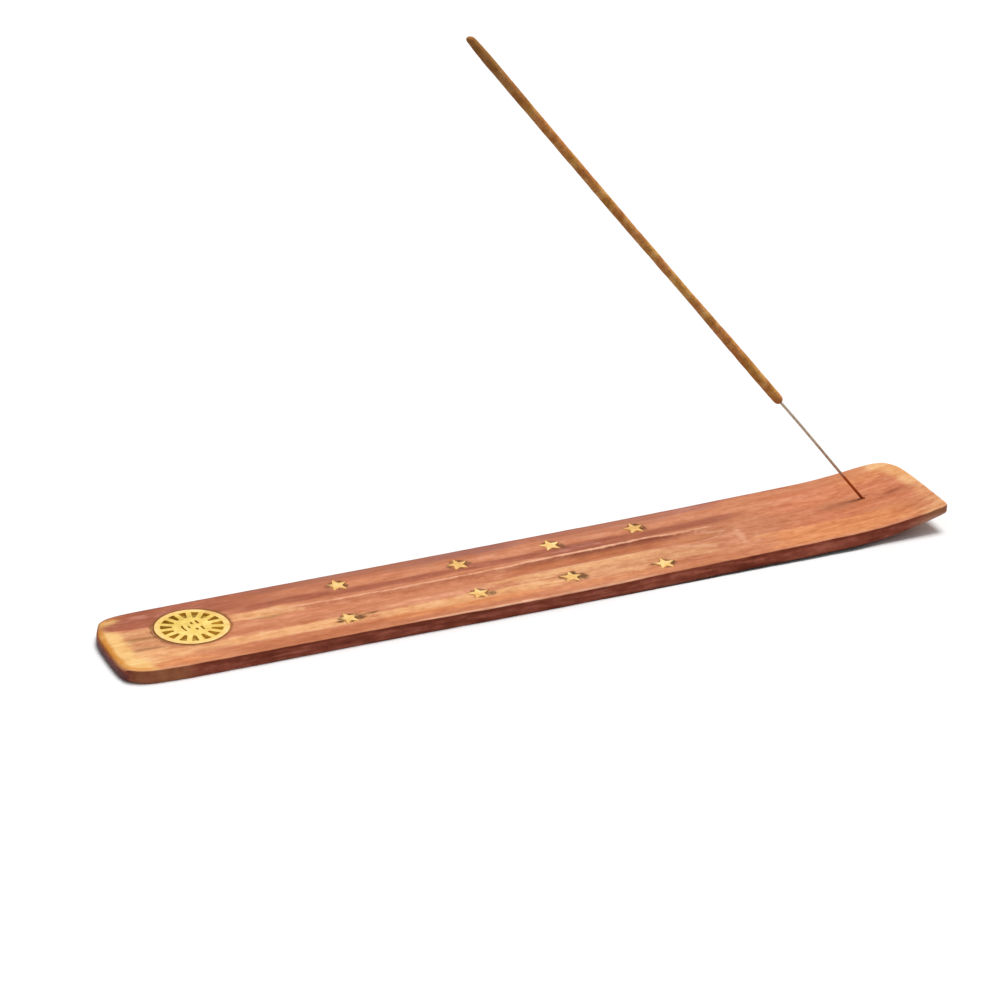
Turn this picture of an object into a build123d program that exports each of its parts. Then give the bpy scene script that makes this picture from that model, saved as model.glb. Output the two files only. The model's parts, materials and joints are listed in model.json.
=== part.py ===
from build123d import *
import math
import os

# Incense stick holder: a flat wooden ash catcher with an upturned toe, an ash groove, brass inlays
# bedded in dark filler, and one incense stick that leans back over the board from a slanted hole.
# Millimetres. +X runs from the sun end to the toe, +Y to the far side, +Z up.
# The origin is the middle of the board's length and width, on the surface that it rests on.

# Board
BOARD_LENGTH = 257.2
BOARD_WIDTH = 38.0
BOARD_THICK = 4.2
SUN_END_FAR_CORNER = 11.5
SUN_END_NEAR_CORNER = 9.0
TOE_FAR_CORNER = 10.0
TOE_NEAR_CORNER = 1.6
TOP_EDGE_ROUND = 0.7
UNDER_EDGE_ROUND = 0.4

# The board is bent up at one end: a long gentle lead lifts it off the table a little, and the toe
# then curves up to a thinner tip. Lengths run along X.
LEAD_LENGTH = 82.0
LEAD_RISE = 0.9
TOE_LENGTH = 32.9
TOE_RISE = 4.0
TIP_THICK = 2.9

# Ash groove, a shallow cove that runs out at both ends
GROOVE_TO_TOE = 32.4
GROOVE_WIDTH = 7.4
GROOVE_DEPTH = 1.0
GROOVE_RUN_OUT = 10.5
GROOVE_SIDE_SHIFT = -0.35

# What the inlays share: sheet brass that stands a little proud, on a bed of filler that is dished
INLAY_THICK = 0.9
INLAY_PROUD = 0.1
FILLER_BED = 0.4
FILLER_DISH = 0.15

# Sun disc: a rim, rays between pierced openings, and a small pierced face on the middle
SUN_DIAMETER = 21.4
SUN_RIM_WIDTH = 1.7
SUN_MIDDLE_RADIUS = 5.6
SUN_RAY_COUNT = 15
SUN_RAY_WIDTH = 1.5
SUN_OPENING_ROUND = 0.25
SUN_FILLER_GAP = 0.35
SUN_TO_END = 15.6
SUN_TO_GROOVE = 5.65
SUN_SIDE_SHIFT = 3.0
SUN_TURN = 5.6

# The sun's face looks up at the toe. Each mark is a slot across the face:
# height above the disc's centre, distance to one side, length and width
FACE_SLOTS = [
    (-0.9, 0.0, 1.6, 0.5),
    (0.7, 2.0, 1.4, 0.75),
    (0.7, -2.0, 1.4, 0.75),
    (2.4, 2.0, 2.3, 0.65),
    (2.4, -2.0, 2.3, 0.65),
]
MOUTH_DROP = 2.7
MOUTH_LENGTH = 3.7
MOUTH_WIDTH = 0.6
MOUTH_BOW = 0.25

# Stars. Their pockets are roughly cut, so the filler is thin at the points and wide in the notches
STAR_POINTS = 5
STAR_TIP_RADIUS = 3.3
STAR_WAIST_RADIUS = 1.4
STAR_POINT_GAP = 0.45
STAR_NOTCH_GAP = 0.7
STAR_FILLER_DRIFT = (0.12, 0.06)

# Stars set by hand: share of the way along the groove, share of the free room to the side of the
# middle of the strip between groove and edge, and turn in degrees
STAR_SEATS = {
    "star_far_1": (0.204, 0.05, 0.0),
    "star_far_2": (0.455, -0.27, 2.0),
    "star_far_3": (0.656, 0.05, 0.0),
    "star_far_4": (0.841, 0.21, 0.0),
    "star_near_1": (0.174, 0.59, 8.0),
    "star_near_2": (0.444, 0.57, -2.0),
    "star_near_3": (0.637, 0.35, -10.0),
    "star_near_4": (0.829, -0.42, -4.0),
}

# Stick hole in the toe, and the incense stick that stands in it
STICK_LEAN = 51.5
HOLE_TO_TIP = 18.4
HOLE_SIDE_SHIFT = 0.6
HOLE_CLEARANCE = 0.25
HOLE_FLOOR = 0.9
BAMBOO_DIAMETER = 0.8
BAMBOO_BARE_LENGTH = 50.3
PASTE_LENGTH = 159.7
PASTE_WALL_LOW = 1.0
PASTE_WALL_TOP = 0.9
PASTE_TIP_WALL = 0.4
PASTE_TIP_TAPER = 5.0
PASTE_TIP_CAP = 2.0
PASTE_SHOULDER_ROUND = 0.5

# Places that follow from the sizes above
HALF_LENGTH = BOARD_LENGTH / 2
HALF_WIDTH = BOARD_WIDTH / 2
TOE_X = HALF_LENGTH - TOE_LENGTH
LEAD_X = TOE_X - LEAD_LENGTH
TIP_TOP_Z = BOARD_THICK + LEAD_RISE + TOE_RISE
TIP_UNDER_Z = TIP_TOP_Z - TIP_THICK
POCKET_DEPTH = FILLER_BED + INLAY_THICK - INLAY_PROUD
INLAY_UNDER_Z = BOARD_THICK - POCKET_DEPTH + FILLER_BED
SUN_RADIUS = SUN_DIAMETER / 2
SUN_POCKET_RADIUS = SUN_RADIUS + SUN_FILLER_GAP
SUN_X = -HALF_LENGTH + SUN_TO_END + SUN_POCKET_RADIUS
GROOVE_START_X = SUN_X + SUN_POCKET_RADIUS + SUN_TO_GROOVE
GROOVE_END_X = TOE_X - GROOVE_TO_TOE
STAR_POCKET_RADIUS = STAR_TIP_RADIUS + STAR_POINT_GAP + math.hypot(*STAR_FILLER_DRIFT)

# A cut that has to pass right out of the wood reaches this much past it
CUT_OVERSHOOT = 5.0
RIM_TOLERANCE = 1e-4


def bend_radius(length, rise):
    """Radius of the arc that leaves a flat tangentially and rises by rise over length."""
    return (length ** 2 + rise ** 2) / (2 * rise)


def board_plan():
    """Outline of the board from above, with its four unlike corners."""
    outline = Rectangle(BOARD_LENGTH, BOARD_WIDTH)
    corners = [
        (-HALF_LENGTH, HALF_WIDTH, SUN_END_FAR_CORNER),
        (-HALF_LENGTH, -HALF_WIDTH, SUN_END_NEAR_CORNER),
        (HALF_LENGTH, HALF_WIDTH, TOE_FAR_CORNER),
        (HALF_LENGTH, -HALF_WIDTH, TOE_NEAR_CORNER),
    ]
    for x, y, radius in corners:
        corner = outline.vertices().sort_by_distance((x, y, 0))[0]
        outline = fillet(corner, radius)
    return outline


def lead_bend():
    """Radius of the underside's arc along the lead, and its slope where the toe starts."""
    radius = bend_radius(LEAD_LENGTH, LEAD_RISE)
    return radius, math.asin(LEAD_LENGTH / radius)


def toe_bend(rise):
    """Centre and radius of an arc that carries on from the lead's end and rises by rise to the tip."""
    slope = lead_bend()[1]
    chord = math.hypot(TOE_LENGTH, rise)
    radius = chord / (2 * math.sin(math.atan2(rise, TOE_LENGTH) - slope))
    return TOE_X - radius * math.sin(slope), LEAD_RISE + radius * math.cos(slope), radius


def lift(x):
    """How far the bend lifts the top face at a place along the board."""
    if x <= LEAD_X:
        return 0.0
    if x <= TOE_X:
        centre_x, centre_z, radius = LEAD_X, lead_bend()[0], lead_bend()[0]
    else:
        centre_x, centre_z, radius = toe_bend(TOE_RISE)
    return centre_z - math.sqrt(radius ** 2 - (x - centre_x) ** 2)


def bent_line(height, tip_height):
    """One face of the board in side view: flat, then the lead and the toe."""
    lead_start = (LEAD_X, height)
    toe_start = (TOE_X, height + LEAD_RISE)
    flat = Line((-HALF_LENGTH, height), lead_start)
    lead = TangentArc(lead_start, toe_start, tangent=(1, 0))
    toe = TangentArc(toe_start, (HALF_LENGTH, tip_height), tangent=lead % 1)
    return [flat, lead, toe]


def board_side():
    """Side view of the board, bent up at the toe and thinner at the tip."""
    under = bent_line(0, TIP_UNDER_Z)
    top = bent_line(BOARD_THICK, TIP_TOP_Z)
    ends = [Line(under[0] @ 0, top[0] @ 0), Line(under[-1] @ 1, top[-1] @ 1)]
    return make_face(Curve() + under + top + ends)


def rim_edges(blank, plan, above):
    """Edges of the blank that follow its plan outline, round the top face or round the underside."""
    border = plan.wire()
    rims = ShapeList()
    for edge in blank.edges():
        middle = edge @ 0.5
        upright = abs((edge % 0.5).Z) > 0.9
        on_border = border.distance_to(Vertex(middle.X, middle.Y, 0)) < RIM_TOLERANCE
        is_above = middle.Z > lift(middle.X) + BOARD_THICK / 2
        if on_border and not upright and is_above == above:
            rims.append(edge)
    return rims


def groove_cutter():
    """Round bar along the groove that bends up and out of the wood at both ends."""
    cove = bend_radius(GROOVE_WIDTH / 2, GROOVE_DEPTH)
    bend = bend_radius(GROOVE_RUN_OUT, GROOVE_DEPTH) - cove
    height = BOARD_THICK - GROOVE_DEPTH + cove
    left = GROOVE_START_X + GROOVE_RUN_OUT
    right = GROOVE_END_X - GROOVE_RUN_OUT
    turn = 2 * math.degrees(math.asin(GROOVE_RUN_OUT / (bend + cove)))
    floor_line = Line((left, 0, height), (right, 0, height))
    rise_right = CenterArc((0, 0), bend, -90, turn)
    rise_left = CenterArc((0, 0), bend, -90 - turn, turn)
    path = Curve() + [
        Location(Plane((left, 0, height + bend), x_dir=(1, 0, 0), z_dir=(0, -1, 0))) * rise_left,
        floor_line,
        Location(Plane((right, 0, height + bend), x_dir=(1, 0, 0), z_dir=(0, -1, 0))) * rise_right,
    ]
    path = path.wire()
    section = Plane(path @ 0, z_dir=path % 0) * Circle(cove)
    return Pos(0, GROOVE_SIDE_SHIFT, 0) * sweep(section, path=path)


def hole_mouth():
    """Point on the toe's top where the axis of the stick enters the wood."""
    x = HALF_LENGTH - HOLE_TO_TIP
    return Vector(x, HOLE_SIDE_SHIFT, BOARD_THICK + lift(x))


def stick_direction():
    """Unit vector from the hole up the stick."""
    lean = math.radians(STICK_LEAN)
    return Vector(-math.cos(lean), 0, math.sin(lean))


def hole_depth():
    """Depth of the blind hole along the stick, which leaves HOLE_FLOOR of wood under it."""
    centre_x, centre_z, radius = toe_bend(TIP_UNDER_Z - LEAD_RISE)
    from_centre = hole_mouth() - Vector(centre_x, HOLE_SIDE_SHIFT, centre_z)
    along = -from_centre.dot(stick_direction())
    through = -along + math.sqrt(along ** 2 - from_centre.length ** 2 + radius ** 2)
    return through - HOLE_FLOOR


def stick_plane():
    """Plane on the floor of the hole, with the stick along its normal."""
    foot = hole_mouth() - stick_direction() * hole_depth()
    return Plane(foot, x_dir=(0, 1, 0), z_dir=stick_direction())


def stick_hole():
    bore = BAMBOO_DIAMETER / 2 + HOLE_CLEARANCE
    reach = hole_depth() + CUT_OVERSHOOT
    return stick_plane() * extrude(Circle(bore), amount=reach)


def star_outline(tip_radius, waist_radius):
    """Five-pointed star with one point towards +Y."""
    points = []
    for step in range(2 * STAR_POINTS):
        radius = waist_radius if step % 2 else tip_radius
        angle = math.pi / 2 + step * math.pi / STAR_POINTS
        points.append((radius * math.cos(angle), radius * math.sin(angle)))
    return make_face(Polyline(*points, close=True))


def star_place(along, aside, turn, side):
    """Where a star sits: side is 1 on the far side of the groove and -1 on the near side."""
    x = GROOVE_START_X + along * (GROOVE_END_X - GROOVE_START_X)
    groove_edge = GROOVE_SIDE_SHIFT + side * GROOVE_WIDTH / 2
    board_edge = side * HALF_WIDTH
    room = abs(board_edge - groove_edge) / 2 - STAR_POCKET_RADIUS
    y = (groove_edge + board_edge) / 2 + aside * room
    return Pos(x, y, lift(x)) * Rot(0, 0, turn)


def sun_openings():
    """The sectors between the rays, from the middle to the rim."""
    band = Circle(SUN_RADIUS - SUN_RIM_WIDTH) - Circle(SUN_MIDDLE_RADIUS)
    for step in range(SUN_RAY_COUNT):
        ray = Pos(SUN_RADIUS / 2, 0) * Rectangle(SUN_RADIUS, SUN_RAY_WIDTH)
        band -= Rot(0, 0, step * 360 / SUN_RAY_COUNT) * ray
    return fillet(band.vertices(), SUN_OPENING_ROUND)


def sun_face():
    """Nose, eyes and brows as straight slots, and the mouth as a bowed one."""
    half = MOUTH_LENGTH / 2 - MOUTH_WIDTH / 2
    smile = ThreePointArc((MOUTH_BOW - MOUTH_DROP, half), (-MOUTH_DROP, 0), (MOUTH_BOW - MOUTH_DROP, -half))
    marks = SlotArc(smile, MOUTH_WIDTH)
    for height, aside, length, width in FACE_SLOTS:
        marks += Pos(height, aside) * Rot(0, 0, 90) * SlotOverall(length, width)
    return marks


def inlay(outline):
    """Sheet brass of this outline, at the height where the inlays lie."""
    return Pos(0, 0, INLAY_UNDER_Z) * extrude(outline, amount=INLAY_THICK)


def pocket(outline):
    """Cut for an inlay and its filler, from the pocket's floor to above the wood."""
    return Pos(0, 0, BOARD_THICK - POCKET_DEPTH) * extrude(outline, amount=POCKET_DEPTH + CUT_OVERSHOOT)


def filler(outline, brass):
    """Filler that lines a pocket of this outline under and around the brass."""
    block = Pos(0, 0, BOARD_THICK - POCKET_DEPTH) * extrude(outline, amount=POCKET_DEPTH - FILLER_DISH)
    return block - brass


def make_sun():
    """The sun disc, its filler and the pocket that both lie in."""
    place = Pos(SUN_X, SUN_SIDE_SHIFT, 0) * Rot(0, 0, SUN_TURN)
    disc = Circle(SUN_RADIUS)
    seat = Circle(SUN_POCKET_RADIUS)
    brass = inlay(disc - sun_openings() - sun_face())
    return place * brass, place * filler(seat, inlay(disc)), place * pocket(seat)


def make_star(seat_name):
    """A star, its filler and the pocket that both lie in."""
    along, aside, turn = STAR_SEATS[seat_name]
    side = 1 if "far" in seat_name else -1
    place = star_place(along, aside, turn, side)
    seat_star = star_outline(STAR_TIP_RADIUS + STAR_POINT_GAP, STAR_WAIST_RADIUS + STAR_NOTCH_GAP)
    seat = Pos(*STAR_FILLER_DRIFT) * seat_star
    brass = inlay(star_outline(STAR_TIP_RADIUS, STAR_WAIST_RADIUS))
    return place * brass, place * filler(seat, brass), place * pocket(seat)


def make_board(pockets):
    """The wooden board with its groove, inlay pockets and stick hole."""
    plan = board_plan()
    side = Plane.XZ * board_side()
    blank = extrude(side, amount=HALF_WIDTH, both=True) & extrude(plan, amount=TIP_TOP_Z)
    blank = fillet(rim_edges(blank, plan, above=True), TOP_EDGE_ROUND)
    blank = fillet(rim_edges(blank, plan, above=False), UNDER_EDGE_ROUND)
    return blank - groove_cutter() - stick_hole() - pockets


def make_bamboo():
    """The bamboo core, from the floor of the hole to a little short of the paste's tip."""
    length = BAMBOO_BARE_LENGTH + PASTE_LENGTH - PASTE_TIP_CAP
    return stick_plane() * extrude(Circle(BAMBOO_DIAMETER / 2), amount=length)


def make_paste():
    """Rolled paste: a slightly tapered coat round the core, closed over its end by a rounded tip."""
    core = BAMBOO_DIAMETER / 2
    low = core + PASTE_WALL_LOW
    top = core + PASTE_WALL_TOP
    tip = core + PASTE_TIP_WALL
    start = BAMBOO_BARE_LENGTH
    end = start + PASTE_LENGTH
    core_end = end - PASTE_TIP_CAP
    shoulder = start + PASTE_SHOULDER_ROUND
    taper_start = end - PASTE_TIP_TAPER
    edges = [
        Line((core, start), (low - PASTE_SHOULDER_ROUND, start)),
        TangentArc((low - PASTE_SHOULDER_ROUND, start), (low, shoulder), tangent=(1, 0)),
        Line((low, shoulder), (top, taper_start)),
        TangentArc((top, taper_start), (tip, end), tangent=(0, 1)),
        Line((tip, end), (0, end)),
        Line((0, end), (0, core_end)),
        Line((0, core_end), (core, core_end)),
        Line((core, core_end), (core, start)),
    ]
    profile = Plane.XZ * make_face(Curve() + edges)
    return stick_plane() * revolve(profile, Axis.Z)


def build():
    """All pieces of the holder by node name."""
    nodes = {}
    pockets = []
    nodes["sun_inlay"], nodes["sun_filler"], sun_pocket = make_sun()
    pockets.append(sun_pocket)
    for seat_name in STAR_SEATS:
        nodes[seat_name], nodes[seat_name + "_filler"], star_pocket = make_star(seat_name)
        pockets.append(star_pocket)
    nodes["ash_board"] = make_board(pockets)
    nodes["bamboo_core"] = make_bamboo()
    nodes["incense_paste"] = make_paste()
    return nodes


os.makedirs("parts", exist_ok=True)
for node_name, shape in build().items():
    export_step(shape, f"parts/{node_name}.step")
print("hole mouth", hole_mouth(), "depth", round(hole_depth(), 3), "direction", stick_direction())
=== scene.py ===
import json
import math

import bmesh
import bpy
import numpy as np
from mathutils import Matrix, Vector, noise
from mathutils.geometry import delaunay_2d_cdt


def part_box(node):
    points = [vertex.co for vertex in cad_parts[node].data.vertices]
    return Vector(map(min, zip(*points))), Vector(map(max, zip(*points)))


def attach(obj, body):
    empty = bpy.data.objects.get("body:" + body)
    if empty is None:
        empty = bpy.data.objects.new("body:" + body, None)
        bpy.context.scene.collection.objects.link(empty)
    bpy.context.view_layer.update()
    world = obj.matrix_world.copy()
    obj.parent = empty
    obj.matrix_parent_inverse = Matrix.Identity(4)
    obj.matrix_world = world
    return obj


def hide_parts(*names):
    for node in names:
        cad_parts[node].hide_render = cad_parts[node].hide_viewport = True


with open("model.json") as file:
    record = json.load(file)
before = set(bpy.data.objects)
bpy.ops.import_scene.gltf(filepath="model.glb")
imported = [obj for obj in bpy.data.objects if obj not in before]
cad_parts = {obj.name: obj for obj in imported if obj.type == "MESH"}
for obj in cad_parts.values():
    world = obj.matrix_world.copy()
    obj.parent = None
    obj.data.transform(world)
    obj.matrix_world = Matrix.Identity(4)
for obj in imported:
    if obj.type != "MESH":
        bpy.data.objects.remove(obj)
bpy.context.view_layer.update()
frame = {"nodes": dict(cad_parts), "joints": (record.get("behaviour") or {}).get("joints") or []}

nodes = frame["nodes"]
scene = bpy.context.scene

# Lengths in this file are in millimetres, and are turned into metres where they are handed on.
MM = 0.001

# Board, as packed
LENGTH, WIDTH, THICK, TIP_THICK = 257.2, 38.0, 4.2, 2.9
LEAD_LENGTH, LEAD_RISE = 82.0, 0.9
TOE_LENGTH, TOE_RISE = 32.9, 4.0
GROOVE_START, GROOVE_END = -85.25, 63.3
GROOVE_DEPTH, GROOVE_RUN_OUT = 1.0, 10.5
GROOVE_FAR, GROOVE_NEAR = 2.9, 4.5
POCKET_DEPTH = 1.2
HOLE_CLEARANCE = 0.25
SUN_AT = (-101.95, 3.0)
HALF_LENGTH, HALF_WIDTH = LENGTH / 2, WIDTH / 2
TOE_X = HALF_LENGTH - TOE_LENGTH
LEAD_X = TOE_X - LEAD_LENGTH
STARS = [f"star_{side}_{n}" for side in ("far", "near") for n in (1, 2, 3, 4)]

# Outline of the board from above, anticlockwise, cut by hand, with sanded flats at one corner
OUTLINE = [
    (-104, -18.8), (-88, -18.9), (-60, -18.9), (-45, -19.0), (-30, -19.25), (-12, -19.5), (8, -19.55),
    (22, -19.25), (36, -18.9), (48, -18.8), (62, -18.7), (78, -18.9), (95, -18.9), (112, -19.0),
    (122, -19.0), (127.0, -19.0), (128.4, -18.7), (128.7, -17.2), (128.7, -12),
    (128.75, -4), (128.65, 4), (128.35, 9.5), (128.0, 11.6), (127.4, 13.4), (126.3, 15.8), (124.5, 17.4),
    (122.2, 18.5), (118.5, 19.1), (110, 19.2), (92, 19.3), (60, 19.3), (32, 19.2), (0, 18.9), (-45, 18.6),
    (-85, 18.6), (-110.3, 18.5), (-118.4, 18.2), (-122, 17.6), (-123.9, 16.8), (-125.9, 15.2),
    (-127.2, 12.5), (-128.1, 9.9), (-128.5, 5.4), (-128.6, -2), (-128.5, -8.4), (-128.1, -12.3),
    (-127.1, -14.8), (-124.5, -16.8), (-121.5, -17.8), (-117.5, -18.25), (-112, -18.6),
]
# Where the far lip of the groove runs, scooped by hand: place along the board and across it
LIP_RUN = [
    (-86, 5.0), (-76, 3.7), (-66, 3.3), (-45, 2.6), (-15, 2.6),
    (6, 3.6), (27, 3.9), (36, 4.5), (46, 3.9), (64, 3.4),
]
# Rounding of the top rim: its plain size, how rubbing varies it, its least, and what some stretches add
RIM_WIDTH = dict(plain=0.38, rubbed=0.12, least=0.12, sun_end=1.85, tip=0.35, worn=0.25)
RIM_DROP = dict(plain=0.30, rubbed=0.08, least=0.10, sun_end=1.35, tip=0.22, worn=0.30)
RIM_NICK = 0.16
# Rounding of the lower rim, the bulge of the sides, and how far the near side flares out where it is raised
LOW_RIM, LOW_RIM_WAVE = 0.42, 0.12
SIDE_BULGE = 0.045
FLARE = 0.65
# Rows of points over the rims, as shares of their rounding, and the steps between other points
RIM_ROWS = (0, 0.02, 0.07, 0.15, 0.27, 0.42, 0.6, 0.8, 1.0, 1.25)
LOW_ROWS = (0.1, 0.25, 0.45, 0.7, 1.0)
SIDE_ROWS = 9
RIM_STEP = 0.6
TOP_STEPS = (0.7, 0.4)
LIP_STEP = 0.6
LIP_ROWS = (-0.7, -0.5, -0.32, -0.18, -0.06, 0.06, 0.18, 0.32, 0.5, 0.7)
LIP_REACH = 0.85
INLAY_STEP, INLAY_REACH = 0.28, 4.5
UNDER_STEPS = (2.5, 1.5)
HOLE_POINTS = 40
SAME_POINT = 1e-6

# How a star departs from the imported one: unlike points, stretch, worn corners and a worn edge
STAR_UNEVEN = 0.05
STAR_STRETCH = (1.05, 1.14)
POINT_WEAR, NOTCH_WEAR = 0.30, 0.16
STAR_EDGE_DROP, STAR_EDGE_INSET = 0.07, 0.05
SUN_EDGE_WEAR = 0.12

# How far the stick strays from its straight axis: place along it from its foot, and distance
BOW_RUN = [
    (0, 0.1), (18, 0.1), (30, -0.1), (43, -0.2), (52, -0.05),
    (80, -0.1), (135, -0.06), (175, -0.28), (212, -0.58),
]
# How thick the rolled paste is: place along the stick from its foot, and radius
PASTE_RUN = [
    (46, 1.48), (70, 1.50), (84, 1.42), (93, 1.26), (102, 1.21),
    (114, 1.28), (140, 1.33), (175, 1.34), (212, 1.46),
]
# Lumps of the paste and fibres of the bamboo: height, length, turns around, and two shifts of the noise
PASTE_LUMPS = [(0.060, 5.5, 1.1, 0, 0), (0.034, 1.3, 3.2, 0, 5), (0.018, 0.45, 7, 0, 9)]
BAMBOO_FIBRES = [(0.020, 14, 6, 0, 0), (0.016, 40, 2, 7, 0)]
# Lengths of the paste's rounded foot, taper and rounded tip, and the tip's slant; steps and points around
PASTE_FOOT, PASTE_TAPER, PASTE_TIP, PASTE_SLANT = 1.7, 9.0, 1.3, 0.35
PASTE_STEP, PASTE_AROUND, BAMBOO_AROUND = 0.33, 44, 28

# Tones of the stained wood: dark grain, middle and light grain
PLAIN_TONE = ((190, 112, 74), (211, 135, 97), (227, 157, 117))
WOOD_TONES = {
    "rust": ((192, 106, 68), (213, 130, 91), (230, 152, 112)),
    "salmon": ((206, 128, 92), (224, 149, 112), (238, 171, 134)),
    "tan": ((204, 138, 92), (225, 161, 113), (241, 184, 138)),
    "gold": ((220, 152, 98), (239, 175, 121), (250, 198, 146)),
    "orange": ((206, 122, 72), (226, 146, 94), (241, 169, 118)),
    "brown": ((172, 96, 60), (194, 116, 76), (213, 138, 96)),
    "red": ((144, 74, 52), (168, 94, 68), (192, 116, 88)),
    "plum": ((156, 92, 82), (180, 116, 102), (202, 142, 124)),
    "dusk": ((124, 70, 60), (148, 88, 76), (174, 110, 94)),
    "cream": ((232, 172, 112), (246, 194, 134), (253, 212, 158)),
    "olive": ((140, 88, 48), (166, 110, 66), (190, 132, 86)),
}
SUN_END_TONE = ((238, 180, 108), (248, 200, 129), (253, 216, 150))
TIP_TONE = ((234, 164, 102), (247, 187, 128), (253, 206, 152))
SIDE_TONE = ((124, 54, 38), (157, 79, 59), (192, 108, 86))
# Tones of wear and dirt on the wood, and of the painted light and shade laid with some of them
LIP_DIRT_AND_SHADE, FAR_LIP_PALE_AND_HIGHLIGHT, NEAR_LIP_PALE = (134, 64, 42), (247, 187, 151), (250, 198, 154)
SCUFF_PALE, EDGE_PALE, EDGE_DULL = (246, 186, 152), (252, 198, 162), (122, 76, 74)
SUN_ROUND_OCHRE_SHADE, SUN_ROUND_BROWN_SHADE = (221, 143, 55), (158, 84, 38)
# soot and smear at the stick's hole, with the stick's painted shadow
HOLE_SMEAR_AND_SHADOW, HOLE_SOOT_AND_SHADOW = (138, 62, 38), (78, 30, 12)
FILLER_SMEAR, SUN_STAIN, SCRIBED_LINE = (106, 68, 32), (136, 86, 42), (134, 78, 44)
# The sun end's face tone, the low side tone and the under edge tone are painted shade; the tip's side tones
# are partly painted light
SIDE_TOP, SIDE_CORNER, SUN_END_FACE_SHADE = (122, 48, 24), (190, 122, 82), (100, 62, 66)
SIDE_TIP, SIDE_TIP_WORN_AND_LIT, LOW_SIDE_PAINTED_SHADE, UNDER_EDGE_PAINTED_SHADOW = (186, 128, 90), (212, 160, 138), (70, 32, 24), (22, 8, 6)
PORE_DARK = (112, 56, 38)
# Tones of the brass, the filler, the paste and the bamboo
RING_TONE = ((222, 178, 94), (244, 203, 120), (252, 221, 148))
FACE_TONE = ((208, 172, 72), (234, 199, 96), (248, 219, 128))
STAR_TONE = ((220, 168, 90), (240, 197, 119), (250, 218, 149))
BRASS_FILM = (146, 100, 54)
SUN_FILLER_TONE = ((140, 112, 48), (168, 138, 68), (196, 166, 94))
# the sun's ring of filler: painted shade on one side and painted light on the other
SUN_RING_PAINTED_SHADE, SUN_RING_PAINTED_LIGHT = (108, 68, 32), (182, 126, 70)
FILLER_TONE = ((76, 52, 22), (128, 92, 46))
FILLER_RUBBED_TONE = ((182, 118, 74), (222, 158, 106))
GOLDEN_TONE = ((172, 108, 46), (214, 150, 76), (243, 190, 116))
RUDDY_TONE = ((170, 100, 50), (212, 139, 77), (241, 179, 118))
PASTE_TOP, PASTE_LOW, PASTE_SPECK = (136, 92, 52), (168, 96, 50), (108, 62, 28)
BAMBOO_TONE = ((186, 162, 136), (214, 197, 176), (230, 216, 197))
BAMBOO_TAN, BAMBOO_AMBER, BAMBOO_FOOT = (176, 132, 92), (180, 82, 16), (124, 50, 12)

# Where the hand-rubbed stain differs: from and to along the board, from and to across it, and strength
STAINS = {
    "rust": [(82, 132, -9, 15, 0.9), (-70, -30, 10, 16, 0.4), (96, 124, -9, -5, 0.9)],
    "salmon": [
        (-16, 10, 9.8, 13.6, 0.7), (14, 32, 11, 13.8, 0.5), (44, 60, 10.5, 13.4, 0.6),
        (68, 104, 9.0, 12.0, 0.5), (62.5, 68.5, -13, -1, 0.7), (-46, -12, -8.6, -5.4, 0.6),
        (80, 96, -5, -1, 0.3), (8, 32, -9, -6, 0.5),
    ],
    "tan": [(-130, -110, -8.5, 7.8, 0.95), (0, 58, -12.5, -5.4, 0.65), (115, 124, 6.2, 9.2, 0.4)],
    "gold": [
        (-130, -112, -15.5, -6, 0.95), (-124, -98, -13.4, -8.0, 0.85), (-104, -52, -13, -8.0, 0.95),
        (-94, -70, 1.4, 5.6, 0.8), (-52, 8, -13.8, -8.8, 0.85), (-16, 40, -6.6, -2.9, 0.7),
        (-10, 4, -8.4, -5.4, 0.6), (16, 42, -15, -11, 0.4),
    ],
    "orange": [
        (-122, -102, -18.4, -13.6, 0.9), (-56, -2, -16.2, -12.8, 0.9), (72, 122, -18, -8, 0.9),
        (108, 130, 9.5, 19, 0.6), (-2, 40, -17.5, -14.5, 0.5),
    ],
    "brown": [
        (-120, -96, -19, -16.2, 0.55), (-103, -93, -14.5, -11, 0.5), (-100, -50, -18.8, -13.6, 0.85),
        (-52, -8, -19, -16.2, 0.6), (40, 64, -19, -15.4, 0.6), (-4, 46, -1.8, 2.8, 0.95),
        (40, 66, -2.2, 2, 0.55), (-74, -22, -5.8, -3.0, 0.5), (94, 114, -4.0, 4.4, 0.5),
        (112, 124, -11, -5.5, 0.4), (116, 127, -4, -0.6, 0.45), (-122, -112, 2.4, 4.8, 0.45),
        (58, 124, 12.4, 20, 0.35), (98, 126, -8.8, -5.4, 0.45),
    ],
    "red": [
        (-88, -54, 6.0, 9.8, 0.9), (-62, -18, 5.2, 8.4, 0.9), (-24, 12, 5.2, 9.0, 0.95),
        (6, 40, 4.4, 9.9, 0.98), (34, 72, 5.0, 9.6, 0.8), (-66, -54, 8, 15, 0.45), (-120, -104, 8, 20, 0.9),
    ],
    "plum": [
        (-124, -92, 11.5, 16.5, 0.3), (-28, 20, 15.6, 20, 0.6), (52, 70, 15.2, 20, 0.7),
        (12, 28, 6, 9, 0.45),
    ],
    "dusk": [
        (-84, 4, 14.4, 20, 0.55), (-62, 2, 12.6, 16, 0.36), (10, 56, 14.6, 20, 0.5),
        (8, 60, 12.4, 15, 0.34),
    ],
    "cream": [(-130, -118, -15, -9.5, 0.8), (-130, -121, -10, 7.4, 0.5)],
    "olive": [
        (48, 62, -3.2, 1.4, 0.3), (-84, -75, 0.3, 2.4, 0.6), (-124, -113, 0.2, 2.6, 0.8),
        (-122, -111, -6, -4, 0.75), (-119, -114, -2.2, -1.0, 0.4),
    ],
}
# How long and how wide the edges of a stain fade out at most, and at most which share of its size
END_FADE, SIDE_FADE, FADE_SHARE = 18.0, 2.4, 0.8
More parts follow.
